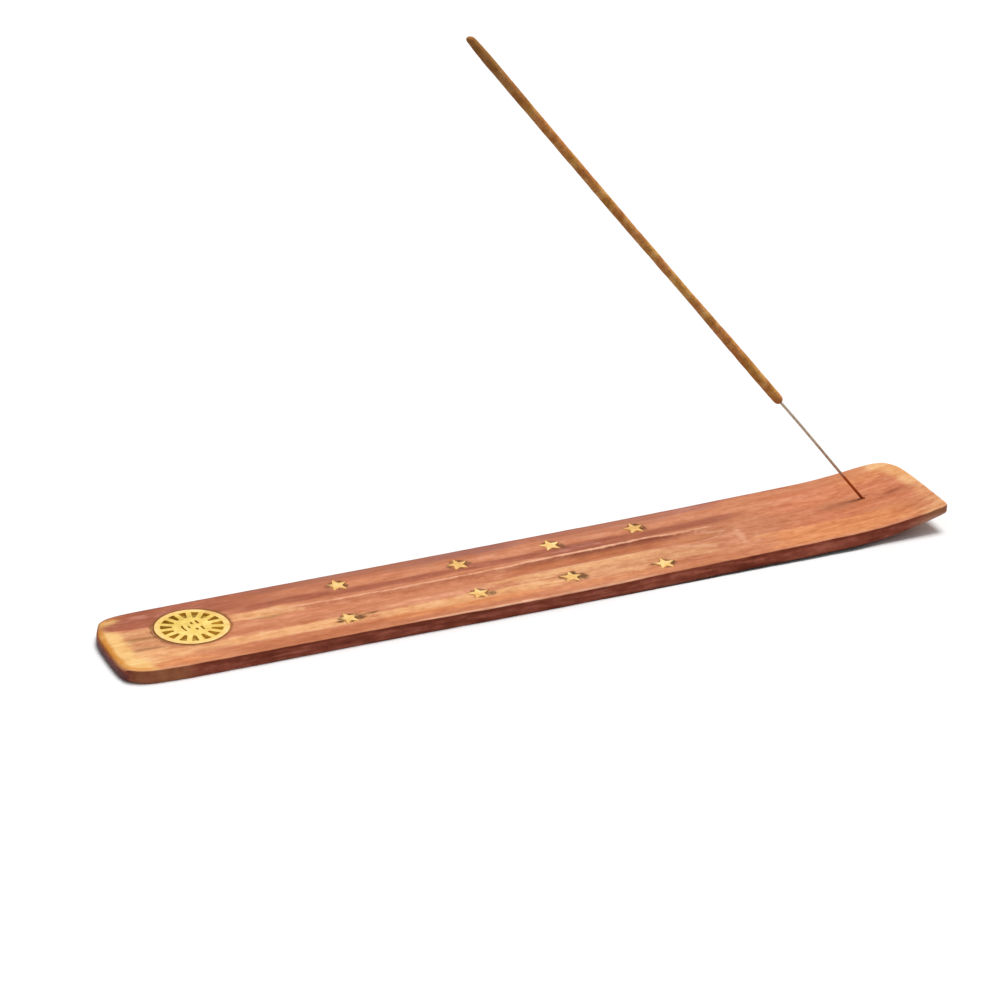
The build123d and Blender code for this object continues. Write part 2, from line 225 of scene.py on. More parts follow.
# The red band along the far side: where it begins across the board, and its strength, by place along
RED_FROM = [(-126, 9.4), (-119, 8.4), (-112, 7.8), (-96, 8.2), (-84, 8.8), (-60, 9.5)]
RED_STRENGTH = [(-126, 0.95), (-92, 0.8), (-58, 0.15)]
# How strong the dirt and painted shade under the groove's far lip are, by place along the board
LIP_DIRT_AND_SHADE_RUN = [(-70, 0.05), (-12, 0.2), (4, 0.65), (20, 0.95), (46, 0.9), (55, 0)]
# The pale bands of the sanded ends: how far in they reach and how strong they are, by place across
SUN_REACH = [(-19, 2.6), (-15, 4.4), (-12, 6.6), (8, 6.4), (10, 4.0), (13, 4.4), (15, 5.0), (18, 1.6)]
SUN_STRENGTH = [(5.5, 1), (8, 0.65), (10, 0.35), (12, 0.45), (14.5, 0.7), (17, 0.3)]
TIP_REACH = [(-19, 4.4), (-5, 4.2), (-2, 3.4), (2, 4.6), (10, 5.2), (15, 4.6), (18, 3.2)]
TIP_STRENGTH = [(-2, 0.5), (3, 0.9), (13, 1), (17, 0.7)]
# Soot and smears beside the stick's hole, with painted shadow of the stick on the side it leans to: how far
# past it along and across, half length, half width and strength
HOLE_SOOT_AND_SHADOW_SPOTS = [(-1.3, -0.15, 1.0, 0.5, 1.3), (1.5, 0.9, 0.9, 0.6, 0.8)]
HOLE_SMEAR_AND_SHADOW_STREAKS = [(-3.6, -0.3, 3.0, 0.8, 0.8), (-8.0, 0.0, 7.5, 1.5, 0.45), (9.5, -1.3, 5.2, 1.7, 0.6)]
# Dark filler smeared into the wood beside the stars: its middle, half length, half width and strength
SMUDGES = [
    (-52.5, 10.4, 0.8, 1.0, 1.0), (-57.9, 11.4, 1.6, 1.4, 0.6),
    (-14.1, 9.8, 1.0, 1.4, 0.75), (-20.6, 9.6, 1.0, 1.2, 0.8), (-19.6, 7.9, 0.8, 0.8, 0.6),
    (15.4, 9.9, 1.0, 1.9, 0.9), (42.6, 11.0, 0.9, 1.7, 0.85), (37.6, 10.0, 1.0, 0.7, 0.6),
    (-56.0, -9.8, 1.7, 1.6, 1.05), (-52.4, -8.7, 3.4, 0.6, 0.9), (-62.2, -10.6, 1.5, 0.8, 1.1),
    (-15.7, -10.6, 1.5, 1.6, 0.8), (-21.6, -8.7, 0.9, 1.1, 1.0), (-21.3, -11.4, 0.8, 0.8, 0.7),
    (12.8, -11.0, 1.6, 2.1, 1.15), (7.2, -9.2, 1.5, 1.6, 1.0), (11.0, -7.2, 1.1, 0.8, 0.75),
    (7.3, -11.6, 0.9, 0.8, 0.7), (10.2, -13.0, 1.0, 0.7, 0.7),
    (40.7, -13.2, 1.0, 1.7, 0.85), (35.0, -12.2, 1.5, 0.8, 0.9), (36.5, -14.4, 0.8, 0.8, 0.8),
]
# Filler left as a film on the brass of some points, in the same terms
STAR_FILM = [
    (-57.6, 12.1, 1.4, 1.0, 1.2), (-20.5, 10.9, 1.2, 0.8, 0.4), (36.9, 12.9, 1.2, 0.8, 0.55),
    (-62.7, -9.1, 1.5, 1.0, 1.2), (-59.8, -6.5, 1.0, 0.8, 0.8), (-56.4, -8.2, 1.2, 0.9, 0.9),
    (-16.0, -8.9, 1.0, 0.8, 0.5), (11.9, -13.0, 1.0, 0.9, 0.7), (12.8, -9.4, 1.0, 0.9, 0.7),
    (35.3, -11.7, 1.2, 0.8, 0.55),
]
# How dark the filler is in a star's five notches, from the upper right one round to the right one
NOTCH_DIRT = (0.95, 0.7, 0.35, 0.75, 1.0)
NOTCH_RADIUS, FIRST_NOTCH, NOTCH_TURN = 2.15, 54, 72
# Pale scuffs across the wood: start, end, half width and strength
SCUFFS = [
    ((45.0, -3.7), (56.5, -8.4), 0.6, 0.45), ((52.5, -3.5), (60.0, -2.2), 0.4, 0.4),
    ((60.0, -2.2), (63.5, 0.4), 0.4, 0.35), ((63.5, 0.4), (56.0, 2.9), 0.45, 0.45),
    ((67.0, -1.0), (66.0, -9.5), 0.8, 0.35), ((71.5, -5.5), (69.5, -11.0), 0.6, 0.25),
]

# Studio: floor, soft light from above, one wide lamp, and a camera of this focal length in pixels
WHITE, FLOOR_GREY = (1.0, 1.0, 1.0, 1.0), (0.6, 0.6, 0.6, 1.0)
FLOOR_HALF, FLOOR_DROP = 6000.0, 0.05
WORLD_LIGHT, WORLD_FULL_AT = 0.40, 0.45
LAMP_FROM, LAMP_ENERGY, LAMP_SPREAD = (0.22, 0.03, 1.0), 2.26, 28
EYE, LOOK = (-422.04, -954.61, 514.70), (0.35837, 0.83266, -0.42219)
SENSOR, FOCAL_PIXELS, PHOTO_PIXELS = 36.0, 4000, 984


def smooth(low, high, value):
    """0 at low, 1 at high and an S-curve between them."""
    t = np.clip((np.asarray(value, float) - low) / (high - low), 0, 1)
    return t * t * (3 - 2 * t)


def stretch(value, start, full, fade, end):
    """1 from full to fade, falling off in S-curves to 0 at start and at end."""
    return smooth(start, full, value) * smooth(end, fade, value)


def ridge(value, low, high, soft):
    """1 between low and high, falling off softly on both sides."""
    return stretch(value, low - soft, low + soft, high - soft, high + soft)


def by_place(x, points):
    """Height of a straight-sided line through these points."""
    return np.interp(x, *zip(*points))


def curve(x, points):
    """Height of a soft line through these points."""
    return sum(by_place(x + shift, points) for shift in (-6, -3, 0, 3, 6)) / 5


def wave(x, y, size_x, size_y, seed):
    """Smooth noise from about -1 to 1, with features of about these sizes."""
    x, y = np.broadcast_arrays(np.asarray(x, float), np.asarray(y, float))
    out = np.empty(x.size)
    for i, (a, b) in enumerate(zip(x.ravel(), y.ravel())):
        out[i] = noise.noise((a / size_x + 17.3 * seed, b / size_y - 9.1 * seed, 3.7 * seed))
    return out.reshape(x.shape)


def bend(x, rise):
    """Height of a face that lies flat, lifts along the lead and then rises by rise to the tip."""
    x = np.asarray(x, float)
    lead_r = (LEAD_LENGTH ** 2 + LEAD_RISE ** 2) / (2 * LEAD_RISE)
    slope = math.asin(LEAD_LENGTH / lead_r)
    toe_r = math.hypot(TOE_LENGTH, rise) / (2 * math.sin(math.atan2(rise, TOE_LENGTH) - slope))
    toe_cx = TOE_X - toe_r * math.sin(slope)
    toe_cz = LEAD_RISE + toe_r * math.cos(slope)
    lead = lead_r - np.sqrt(lead_r ** 2 - np.clip(x - LEAD_X, 0, LEAD_LENGTH) ** 2)
    toe = toe_cz - np.sqrt(toe_r ** 2 - (np.clip(x, TOE_X, HALF_LENGTH + 1) - toe_cx) ** 2)
    return np.where(x <= TOE_X, lead, toe)


def lift(x):
    """How far the bend lifts the top face."""
    return bend(x, TOE_RISE)


def under(x):
    """Height of the underside, which rises more because the tip is thinner."""
    return bend(x, TOE_RISE + THICK - TIP_THICK)


def far_lip(x):
    """Where the far edge of the groove lies across the board."""
    return curve(x, LIP_RUN) + 0.20 * wave(x, 0, 8, 1, 1) + 0.09 * wave(x, 0, 2.6, 1, 2)


def groove_floor(x):
    """Height of the groove's lowest line, which runs out in a curve at both ends."""
    turn = (GROOVE_RUN_OUT ** 2 + GROOVE_DEPTH ** 2) / (2 * GROOVE_DEPTH)
    left = GROOVE_START + GROOVE_RUN_OUT
    right = GROOVE_END - GROOVE_RUN_OUT
    past = np.maximum(np.maximum(left - x, x - right), 0)
    past = np.minimum(past, 0.9 * turn)
    return THICK - GROOVE_DEPTH + turn - np.sqrt(turn ** 2 - past ** 2)


def top_height(x, y):
    """Height of the top face inside its worn rim: the lower of flat face and scoop, softly joined."""
    flat = THICK + lift(x)
    flat = flat + 0.030 * wave(x, y, 30, 9, 3) + 0.014 * wave(x, y, 11, 3.2, 4)
    aside = y - far_lip(x) + GROOVE_FAR
    share = aside / np.where(aside > 0, GROOVE_FAR, GROOVE_NEAR)
    scoop = groove_floor(x) + GROOVE_DEPTH * np.minimum(share ** 2, 9)
    scoop = scoop + 0.035 * wave(x, y, 14, 2.5, 5)
    crisp = smooth(-14, 6, x)
    soft = np.where(aside > 0, 0.10 - 0.07 * crisp, 0.12)
    return -soft * np.logaddexp(-flat / soft, -scoop / soft)


def outward(loop):
    """Unit normals of a closed loop, pointing out of it."""
    side = np.roll(loop, -1, axis=0) - np.roll(loop, 1, axis=0)
    out = np.column_stack((side[:, 1], -side[:, 0])) / np.hypot(*side.T)[:, None]
    return out if ((loop - loop.mean(axis=0)) * out).sum() > 0 else -out


def near_side(out):
    """1 where a rim faces the near side."""
    return smooth(0.5, 0.95, -out[:, 1])


def rim_line():
    """The outline in even steps, with outward normals."""
    loop = np.array(OUTLINE, float)
    for _ in range(3):
        ahead = np.roll(loop, -1, axis=0)
        loop = np.stack((0.75 * loop + 0.25 * ahead, 0.25 * loop + 0.75 * ahead), axis=1).reshape(-1, 2)
    closed = np.vstack((loop, loop[:1]))
    run = np.concatenate(([0], np.cumsum(np.hypot(*np.diff(closed, axis=0).T))))
    steps = np.linspace(0, run[-1], int(run[-1] / RIM_STEP), endpoint=False)
    line = np.column_stack([np.interp(steps, run, closed[:, axis]) for axis in (0, 1)])
    out = outward(line)
    x, y = line.T
    near = near_side(out)
    wobble = 0.06 * wave(x, y, 16, 16, 6) + (0.04 + 0.05 * near) * wave(x, y, 5, 5, 7)
    wobble = wobble + 0.06 * near * wave(x, y, 2.2, 2.2, 12)
    return line + out * wobble[:, None], out


def inside(points, loop):
    """True for the points that lie in a closed loop."""
    x, y = points[:, 0], points[:, 1]
    found = np.zeros(len(points), bool)
    for (ax, ay), (bx, by) in zip(loop, np.roll(loop, -1, axis=0)):
        crosses = (ay > y) != (by > y)
        with np.errstate(divide="ignore", invalid="ignore"):
            found ^= crosses & (x < (bx - ax) * (y - ay) / (by - ay) + ax)
    return found


def gap_to(points, loop):
    """Distance from each point to a closed loop."""
    best = np.full(len(points), np.inf)
    for a, b in zip(loop, np.roll(loop, -1, axis=0)):
        span = b - a
        t = np.clip(((points - a) @ span) / max(span @ span, 1e-12), 0, 1)
        best = np.minimum(best, np.hypot(*(points - a - t[:, None] * span).T))
    return best


def grid_of(along, across):
    """Every pair of a place along and a place across."""
    return np.array([(a, b) for a in along for b in across])


def board_grid(step_along, step_across):
    """An even grid over the board's length and width."""
    along = np.arange(-HALF_LENGTH, HALF_LENGTH, step_along)
    across = np.arange(-HALF_WIDTH, HALF_WIDTH, step_across)
    return grid_of(along, across)


def put(obj, name, values):
    """Stores a number for each point of a mesh, for its material."""
    layer = obj.data.attributes.new(name, "FLOAT", "POINT")
    layer.data.foreach_set("value", np.asarray(values, np.float32))


def from_points(obj, what):
    """Positions in millimetres or normals of a mesh's points."""
    values = np.empty(len(obj.data.vertices) * 3)
    obj.data.vertices.foreach_get(what, values)
    return values.reshape(-1, 3) / (MM if what == "co" else 1)


def add_object(name, data):
    obj = bpy.data.objects.new(name, data)
    scene.collection.objects.link(obj)
    return obj


def loops_under(node):
    """Closed loops round the underside of a CAD node, in millimetres, the longest first."""
    bm = bmesh.new()
    bm.from_mesh(nodes[node].data)
    bmesh.ops.remove_doubles(bm, verts=bm.verts, dist=SAME_POINT)
    low = min(v.co.z for v in bm.verts)
    facing_down = [f for f in bm.faces if f.normal.z < -0.99]
    below = [f for f in facing_down if abs(f.calc_center_median().z - low) < 0.01 * MM]
    follow = {}
    for face in below:
        for loop in face.loops:
            others = [f for f in loop.edge.link_faces if f is not face and f in below]
            if not others:
                follow[loop.link_loop_next.vert] = loop.vert
    found = []
    while follow:
        vert = next(iter(follow))
        ring = []
        while vert in follow:
            ring.append((vert.co.x / MM, vert.co.y / MM))
            vert = follow.pop(vert)
        found.append(np.array(ring)[::-1])
    bm.free()
    return sorted(found, key=lambda ring: -np.ptp(ring[:, 0]))


class Build:
    """Collects points in millimetres and faces, then makes one welded mesh object in metres."""

    def __init__(self):
        self.points, self.faces = [], []

    def add(self, points):
        first = len(self.points)
        self.points.extend(tuple(p) for p in points)
        return list(range(first, len(self.points)))

    def ring(self, flat, height):
        """Places seen from above, at one height or at a height for each."""
        return self.add(np.column_stack((flat, np.broadcast_to(height, len(flat)))))

    def skin(self, rings):
        """Quads between each closed ring of points and the next."""
        for lower, upper in zip(rings, rings[1:]):
            for i in range(len(lower)):
                j = (i + 1) % len(lower)
                self.faces.append((lower[i], lower[j], upper[j], upper[i]))

    def well(self, high, low):
        """The wall and floor of an opening."""
        self.skin((low, high))
        self.faces.append(tuple(low))

    def fan(self, ring, middle):
        """Triangles from a ring to its middle."""
        centre = self.add([middle])[0]
        for i in range(len(ring)):
            self.faces.append((ring[i], ring[(i + 1) % len(ring)], centre))

    def sheet(self, outer, holes, spots, height_at):
        """Triangles over the area in outer, left open at the holes, with points at all the spots."""
        coords, edges = [], []
        for loop in [outer] + holes:
            first, count = len(coords), len(loop)
            coords.extend(Vector(p) for p in loop)
            edges.extend((first + i, first + (i + 1) % count) for i in range(count))
        coords.extend(Vector(p) for p in spots)
        verts, _, faces, _, _, _ = delaunay_2d_cdt(coords, edges, [], 1, SAME_POINT)
        verts = np.array([tuple(v) for v in verts])
        middles = np.array([verts[list(f)].mean(axis=0) for f in faces])
        keep = np.ones(len(faces), bool)
        for hole in holes:
            keep &= ~inside(middles, hole)
        ids = self.ring(verts, height_at(verts))
        self.faces.extend(tuple(ids[i] for i in f) for f, kept in zip(faces, keep) if kept)

    def make(self, name, sharp):
        """The mesh object, with edges sharper than this angle in degrees left sharp."""
        mesh = bpy.data.meshes.new(name)
        mesh.from_pydata([tuple(c * MM for c in p) for p in self.points], [], self.faces)
        bm = bmesh.new()
        bm.from_mesh(mesh)
        bmesh.ops.remove_doubles(bm, verts=bm.verts, dist=1e-7)
        bmesh.ops.recalc_face_normals(bm, faces=bm.faces)
        bm.to_mesh(mesh)
        bm.free()
        mesh.shade_smooth()
        mesh.set_sharp_from_angle(angle=math.radians(sharp))
        return add_object(name, mesh)


# The stick's axis, foot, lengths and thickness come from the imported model.
stick_axis = np.array(frame["joints"][0]["axis"], float)
stick_axis /= np.linalg.norm(stick_axis)
core_points = from_points(nodes["bamboo_core"], "co")
along_core = core_points @ stick_axis
stick_foot = core_points[along_core < along_core.min() + 0.01].mean(axis=0)
core_length = np.ptp(along_core)
off_axis = core_points - stick_foot
core_radius = np.linalg.norm(off_axis - np.outer(off_axis @ stick_axis, stick_axis), axis=1).max()
paste_along = (from_points(nodes["incense_paste"], "co") - stick_foot) @ stick_axis
paste_start, paste_end = paste_along.min(), paste_along.max()
stick_side = np.array((0.0, 1.0, 0.0))
stick_front = np.cross(stick_axis, stick_side)
hole_radius = core_radius + HOLE_CLEARANCE


def stick_point(s, aside, front):
    """A point of the stick: s along it from its foot, and two ways across."""
    return stick_foot + s * stick_axis + aside * stick_side + front * stick_front


def up_to_top(point):
    """The point on the top face that the stick's direction leads to from a point in the wood."""
    for _ in range(30):
        short = float(top_height(point[0], point[1])) - point[2]
        point = point + stick_axis * short / stick_axis[2] * 0.7
    return point


hole_mouth = up_to_top(stick_foot)


def hole_rings():
    """The hole's mouth seen from above, where the bore meets the top face, and its floor."""
    turns = np.linspace(0, 2 * math.pi, HOLE_POINTS, endpoint=False)
    floor = np.array([stick_point(0, hole_radius * math.cos(t), hole_radius * math.sin(t)) for t in turns])
    return np.array([up_to_top(point) for point in floor])[:, :2], floor


def top_spots(inner, holes):
    """Points over the top face: an even grid, closer along the far lip and round the small inlays."""
    grid = board_grid(*TOP_STEPS)
    start, end = GROOVE_START - 2, GROOVE_END + 2
    along_lip = (grid[:, 0] > start) & (grid[:, 0] < end)
    grid = grid[~(along_lip & (np.abs(grid[:, 1] - far_lip(grid[:, 0])) < LIP_REACH))]
    x = np.arange(start, end, LIP_STEP)
    rows = [np.column_stack((x, far_lip(x) + off)) for off in LIP_ROWS]
    steps = np.arange(-INLAY_REACH, INLAY_REACH, INLAY_STEP)
    for hole in holes:
        if np.ptp(hole[:, 0]) < 2 * INLAY_REACH:
            middle = hole.mean(axis=0)
            grid = grid[np.abs(grid - middle).max(axis=1) > INLAY_REACH]
            rows.append(middle + grid_of(steps, steps))
    spots = np.vstack([grid] + rows)
    keep = inside(spots, inner) & (gap_to(spots, inner) > 0.3)
    for hole in holes:
        close = np.hypot(*(spots - hole.mean(axis=0)).T) < 16
        bad = np.zeros(len(spots), bool)
        bad[close] = inside(spots[close], hole) | (gap_to(spots[close], hole) < 0.16)
        keep &= ~bad
    return spots[keep]


def quarter_round(share, size):
    """How far below its full height a rounded edge of this size is, at a share of its width."""
    return size * (1 - np.sqrt(np.clip(1 - (1 - min(share, 1)) ** 2, 0, 1)))


def make_board():
    """The wooden board with worn rims, a scooped groove and the pockets of its inlays."""
    line, out = rim_line()
    x, y = line.T
    sun_end = smooth(0.72, 0.98, -out[:, 0])
    near_corner = smooth(0.25, 0.6, -out[:, 0]) * smooth(0.25, 0.6, -out[:, 1])
    tip = smooth(0.70, 0.98, out[:, 0])
    near = near_side(out)
    rub = wave(x, y, 22, 22, 8) + 0.6 * wave(x, y, 6, 6, 11)
    nick = RIM_NICK * near * wave(x, y, 2.6, 2.6, 13)
    worn = near * stretch(x, -34, -18, 16, 32)

    def rounding(size):
        plain = np.maximum(size["plain"] + size["rubbed"] * rub + nick, size["least"])
        return plain + size["sun_end"] * sun_end + size["tip"] * tip + size["worn"] * worn

    def moved_out(distance):
        return line + out * distance[:, None]

    build = Build()
    width, drop = rounding(RIM_WIDTH), rounding(RIM_DROP)
    rows = []
    for share in RIM_ROWS:
        place = moved_out(-width * share)
        rows.append(build.ring(place, top_height(*place.T) - quarter_round(share, drop)))
    build.skin(rows)
    inner = moved_out(-width * RIM_ROWS[-1])

    crisp = near * stretch(x, -40, 0, 98, 112)
    near_tip = near * smooth(110, 124, x)
    raised = near * stretch(x, 8, 40, 96, 110)
    low = LOW_RIM + LOW_RIM_WAVE * wave(x, y, 18, 18, 9) - 0.2 * crisp + 0.25 * raised + 0.45 * near_tip
    low_width = low + 0.7 * tip + 0.7 * near_corner + 0.3 * sun_end
    low_rise = low + 0.4 * tip + 0.8 * near_corner + 0.3 * sun_end
    flare = FLARE * raised
    top_edge = top_height(x, y) - drop
    low_edge = under(x) + low_rise
    wall = [rows[0]]
    for share in np.linspace(0, 1, SIDE_ROWS)[1:]:
        bulge = SIDE_BULGE * wave(x + 40 * share, y + 9 * share, 13, 13, 10) * math.sin(math.pi * share)
        wall.append(build.ring(moved_out(bulge + flare * share), top_edge + (low_edge - top_edge) * share))
    for share in LOW_ROWS:
        place = moved_out(flare - low_width * share)
        wall.append(build.ring(place, under(place[:, 0]) + quarter_round(share, low_rise)))
    build.skin(wall[::-1])

    mouth, hole_floor = hole_rings()
    pockets = [loops_under(name + "_filler")[0] for name in STARS] + [loops_under("sun_filler")[0]]
    holes = pockets + [mouth]
    build.sheet(inner, holes, top_spots(inner, holes), lambda flat: top_height(*flat.T))
    for pocket in pockets:
        floor_height = THICK - POCKET_DEPTH + float(lift(pocket[:, 0].mean()))
        build.well(build.ring(pocket, top_height(*pocket.T)), build.ring(pocket, floor_height))
    build.well(build.ring(mouth, top_height(*mouth.T)), build.add(hole_floor))

    under_line = moved_out(flare - low_width)
    spots = board_grid(*UNDER_STEPS)
    spots = spots[inside(spots, under_line) & (gap_to(spots, under_line) > 0.8)]
    build.sheet(under_line, [], spots, lambda flat: under(flat[:, 0]))
    board = build.make("wood_board", 40)
    mark_board(board, line, pockets)
    return board


def beside_sun(flat, pocket):
    """Distance to the sun's pocket, and how far to its right a place lies, from -1 to 1."""
    off = flat - pocket.mean(axis=0)
    far_off = np.hypot(*off.T)
    close = far_off < 24
    gap = np.full(len(flat), 30.0)
    gap[close] = np.where(inside(flat[close], pocket), 0, gap_to(flat[close], pocket))
    return gap, (off @ (0.93, 0.36)) / np.maximum(far_off, 0.1)


def blots(x, y, places, fall_off):
    """How strongly a list of blots covers each place, falling off from their middles."""
    covers = []
    for at_x, at_y, long, wide, strength in places:
        covers.append(strength * fall_off(np.hypot((x - at_x) / long, (y - at_y) / wide)))
    return np.maximum.reduce(covers)


def smeared(flat, smudges):
    """How strongly smudges of filler cover each place."""
    return blots(*flat.T, smudges, lambda off: smooth(1.8, 0.0, off))


def notch_dirt(flat, pockets):
    """How much dark filler is rubbed into the wood beside the notches of the stars."""
    dirt = np.zeros(len(flat))
    for k, pocket in enumerate(pockets):
        off = flat - pocket.mean(axis=0)
        close = np.hypot(*off.T) < 6
        for i, amount in enumerate(NOTCH_DIRT):
            turn = math.radians(FIRST_NOTCH + NOTCH_TURN * i)
            gap = np.hypot(*(off[close] - NOTCH_RADIUS * np.array((math.cos(turn), math.sin(turn)))).T)
            uneven = 0.8 + 0.5 * noise.noise((1.7 * i, 2.3 * k, 0.4))
            dirt[close] = np.maximum(dirt[close], amount * uneven * smooth(1.9, 0.3, gap))
    return np.maximum(dirt, smeared(flat, SMUDGES))


def patch(x, y, start, end, near, far):
    """1 in a stretch of the board, falling off softly at its ends and sides."""
    ends = ridge(x, start, end, min(END_FADE, FADE_SHARE * (end - start)) / 2)
    return ends * ridge(y, near, far, min(SIDE_FADE, FADE_SHARE * (far - near)) / 2)


def soot_and_shadow(x, y, places):
    """How strongly soot, smears and the painted shadow of the stick beside its hole cover each place."""
    return blots(x - hole_mouth[0], y - hole_mouth[1], places, lambda off: np.exp(-off ** 2))


def stain_tones(x, y):
    """How strongly each tone of the hand-rubbed stain shows at a place, with the dirt and painted shade
    under the groove's far lip, and the soot, smear and painted shadow of the stick beside its hole.
    """
    run = x + 6.5 * wave(x, y, 45, 1.6, 23) + 2.0 * wave(x, y, 12, 4, 24)
    across = y + 0.8 * wave(x, y, 30, 8, 21) + 0.45 * wave(x, y, 9, 3, 22) + 0.2 * wave(x, y, 3.5, 1.4, 25)
    tones = {}
    for name, places in STAINS.items():
        covers = [strength * patch(run, across, *place) for *place, strength in places]
        tones[name] = np.maximum.reduce(covers)
    past_red = across - by_place(run, RED_FROM)
    tones["red"] = np.maximum(tones["red"], smooth(-0.7, 0.7, past_red) * by_place(run, RED_STRENGTH))
    # dirt with painted shade on the groove's far wall, just under its lip
    tones["deep"] = stretch(y - far_lip(x), -2.4, -0.3, -0.15, 0.1) * by_place(x, LIP_DIRT_AND_SHADE_RUN)
    # soot and smears at the stick's hole, with painted shadow of the stick on the side it leans to
    tones["hole_smear_and_shadow"] = np.maximum(soot_and_shadow(x, y, HOLE_SOOT_AND_SHADOW_SPOTS), soot_and_shadow(x, across, HOLE_SMEAR_AND_SHADOW_STREAKS))
    return tones


def end_bands(x, y, rim):
    """Where the ends are sanded back to pale wood, the sun end's band and the tip's band, and where shade is
    painted on the sun end's rounded outer edge.
    """
    ragged = 0.8 * wave(x, y, 5, 5, 26) + 0.45 * wave(x, y, 9, 1.6, 27)
    at_sun_end = smooth(-116.5, -122, x)
    sun_reach = by_place(y, SUN_REACH) + 0.8 * ragged
    tip_reach = by_place(y, TIP_REACH) + ragged
    sun_band = smooth(sun_reach + 2.6, sun_reach - 3.2, rim) * at_sun_end
    tip_band = smooth(tip_reach + 2.2, tip_reach - 2.2, rim) * smooth(117, 122, x)
    return {
        "sun_band": sun_band * by_place(y, SUN_STRENGTH),
        # painted shade on the rounded outer edge of the sun end
        "sun_round_shade": smooth(2.6, 1.3, rim + 0.5 * ragged) * at_sun_end,
        "tip_band": tip_band * by_place(y, TIP_STRENGTH),
    }


def mark_board(board, line, pockets):
    """Distances in millimetres and tones, from which the wood's material draws its wear and stains, and the
    light and shade painted among them.
    """
    co = from_points(board, "co")
    x, y, z = co.T
    flat = co[:, :2]
    rim = gap_to(flat, line)
    sun_gap, sun_side = beside_sun(flat, pockets[-1])
    marks = {
        "up": from_points(board, "normal")[:, 2],
        "rim": rim,
        "lip": y - far_lip(x),
        "below": np.clip(THICK + lift(x) - z, 0, 6),
        "notch": notch_dirt(flat, pockets[:-1]),
        "sun_gap": sun_gap,
        "sun_side": sun_side,
    }
    for name, values in (marks | stain_tones(x, y) | end_bands(x, y, rim)).items():
        put(board, name, values)


def make_star(name):
    """A star cut from sheet brass by hand: points a little unlike, with worn corners and edges."""
    outline = loops_under(name)[0]
    middle = outline.mean(axis=0)
    spread = np.hypot(*(outline - middle).T)
    pointed = spread > spread.mean()
    seed = STARS.index(name) + 1
    uneven = np.array([noise.noise((0.9 * i, 3.1 * seed, 0.7)) for i in range(len(outline))])
    sizes = (1.0 + STAR_UNEVEN * np.clip(uneven, -1, 0.4))[:, None] * STAR_STRETCH
    outline = middle + (outline - middle) * sizes
    loop = []
    for i, corner in enumerate(outline):
        before, after = outline[i - 1] - corner, outline[(i + 1) % len(outline)] - corner
        size = POINT_WEAR if pointed[i] else NOTCH_WEAR
        start = corner + before / np.linalg.norm(before) * size
        end = corner + after / np.linalg.norm(after) * size
        for t in np.linspace(0, 1, 5):
            loop.append((1 - t) ** 2 * start + 2 * t * (1 - t) * corner + t ** 2 * end)
    loop = np.array(loop)
    low, high = (corner[2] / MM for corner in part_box(name))
    build = Build()
    rings = [
        build.ring(loop, low),
        build.ring(loop, high - STAR_EDGE_DROP),
        build.ring(loop - outward(loop) * STAR_EDGE_INSET, high),
    ]
    build.skin(rings)
    build.fan(rings[-1], (*middle, high))
    build.faces.append(tuple(reversed(rings[0])))
    star = build.make(name + "_cut", 30)
    put(star, "film", smeared(from_points(star, "co")[:, :2], STAR_FILM))
    return star


def make_tube(name, stations, radius_at, around):
    """A closed round body along the stick, which strays a little from its axis."""
    build = Build()
    rings = []
    for s in stations:
        stray = float(curve(s, BOW_RUN))
        ring = []
        for turn in np.linspace(0, 2 * math.pi, around, endpoint=False):
            r = radius_at(s, turn)
            ring.append(stick_point(s, r * math.cos(turn), stray + r * math.sin(turn)))
        rings.append(build.add(ring))
    build.skin(rings)
    for end in (0, -1):
        build.fan(rings[end], stick_point(stations[end], 0, float(curve(stations[end], BOW_RUN))))
    tube = build.make(name, 60)
    put(tube, "along", (from_points(tube, "co") - stick_foot) @ stick_axis)
    put(tube, "up", from_points(tube, "normal")[:, 2])
    return tube


def lumps(s, turn, sizes):
    """How far noise of several sizes raises the surface of a round body."""
    right, front = math.cos(turn), math.sin(turn)
    total = 0
    for high, long, turns, ahead, aside in sizes:
        total += high * noise.noise((s / long + ahead, turns * right + aside, turns * front))
    return total


def rounded_end(past, length, least):
    """Share of the full radius at a rounded end: least where it begins, and 1 past its length."""
    if past >= length:
        return 1.0
    return least + (1 - least) * math.sqrt(max(0, 1 - (1 - max(past, 0) / length) ** 2))


def make_paste():
    """Rolled incense paste: lumpy, thinner in places, with a tapered foot and a rounded, slanted tip."""

    def radius(s, turn):
        tip = paste_end - s
        r = float(curve(s, PASTE_RUN)) + lumps(s, turn, PASTE_LUMPS)
        r *= rounded_end(s - paste_start, PASTE_FOOT, 0.40)
        r *= 0.74 + 0.26 * min(tip / PASTE_TAPER, 1) ** 0.8
        return r * rounded_end(tip + PASTE_SLANT * math.sin(turn), PASTE_TIP, 0.35)

    ends = np.array((0, 0.03, 0.08, 0.16, 0.26, 0.36, 0.5))
    middle = np.arange(paste_start + 0.75, paste_end - 0.75, PASTE_STEP)
    stations = np.concatenate((paste_start + ends, middle, paste_end - ends[::-1]))
    return make_tube("rolled_paste", stations, radius, PASTE_AROUND)


def make_bamboo():
    """Split bamboo core: four blunt sides and long fibres."""

    def radius(s, turn):
        square = (abs(math.cos(turn)) ** 4 + abs(math.sin(turn)) ** 4) ** -0.25
        return 1.06 * core_radius * (0.72 + 0.28 * square) + lumps(s, turn, BAMBOO_FIBRES)

    bare = np.arange(0, paste_start + 3, 0.5)
    hidden = np.linspace(paste_start + 4, core_length, 40)
    return make_tube("bamboo_stick", np.concatenate((bare, hidden)), radius, BAMBOO_AROUND)


